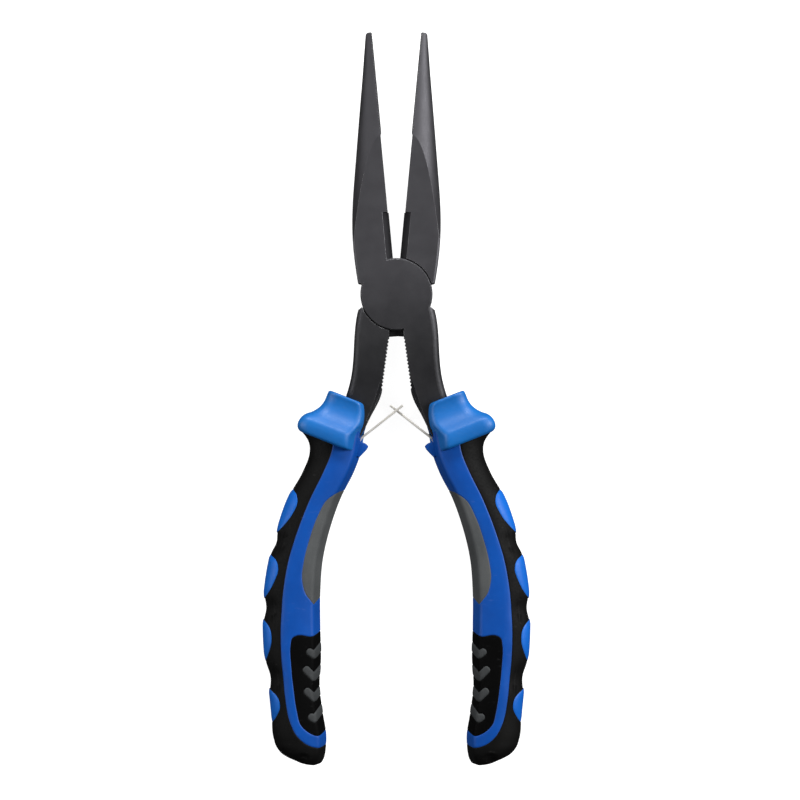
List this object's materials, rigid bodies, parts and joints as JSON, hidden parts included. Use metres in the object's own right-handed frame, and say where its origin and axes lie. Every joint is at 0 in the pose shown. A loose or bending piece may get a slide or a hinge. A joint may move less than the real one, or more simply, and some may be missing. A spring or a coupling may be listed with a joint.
{
  "type": "fishing pliers",
  "caption": "Long-nose fishing pliers with toothed tips, side cutter, sprung handles, thumb guards and soft grips with chevron ribs; they squeeze shut about a riveted lap joint.",
  "frame": {"origin": "centre of the lap joint's flat back face, on the pivot axis", "axes": "+Y from the pivot to the jaw tips, +X to the right handle seen from the front, +Z out of the front face"},
  "size_m": [0.077, 0.2096, 0.0186],
  "materials": {
    "black_steel": "black oxide, satin",
    "spring_steel": "brushed",
    "blue_plastic": "semi-gloss",
    "blue_inlay": "satin",
    "black_rubber": "matte",
    "grey_rubber": "matte"
  },
  "bodies": {
    "front_half": {"jaw_half_front": "black_steel", "pivot_rivet": "black_steel", "grip_core_right": "blue_plastic", "grip_cover_right": "black_rubber", "grip_pad_right": "grey_rubber", "chevron_panel_right": "black_rubber", "chevrons_right": "grey_rubber", "finger_ovals_right": "blue_inlay", "spring_foot_right": "spring_steel", "spring_pin_right": "spring_steel"},
    "rear_half": {"jaw_half_rear": "black_steel", "grip_core_left": "blue_plastic", "grip_cover_left": "black_rubber", "grip_pad_left": "grey_rubber", "chevron_panel_left": "black_rubber", "chevrons_left": "grey_rubber", "finger_ovals_left": "blue_inlay", "spring_foot_left": "spring_steel", "spring_pin_left": "spring_steel"},
    "spring_left": {"spring_blade_left": "spring_steel"},
    "spring_right": {"spring_blade_right": "spring_steel"}
  },
  "joints": [
    {"name": "jaw_pivot", "type": "hinge", "parent": "front_half", "child": "rear_half", "pos_m": [0, 0, 0.0052], "axis": [0, 0, 1], "range_deg": [-6, 10.4], "stiffness_Nm_per_rad": 1.7},
    {"name": "spring_left_flex", "type": "hinge", "parent": "rear_half", "child": "spring_left", "pos_m": [-0.01012, -0.04103, 0.0052], "axis": [0, 0, 1], "range_deg": [-10.5, 17.98]},
    {"name": "spring_right_flex", "type": "hinge", "parent": "front_half", "child": "spring_right", "pos_m": [0.01012, -0.04103, 0.0052], "axis": [0, 0, 1], "range_deg": [-17.98, 10.5]}
  ],
  "couplings": [
    {"joint": "spring_left_flex", "follows": "jaw_pivot", "ratio": 1.7},
    {"joint": "spring_right_flex", "follows": "jaw_pivot", "ratio": -1.7}
  ]
}
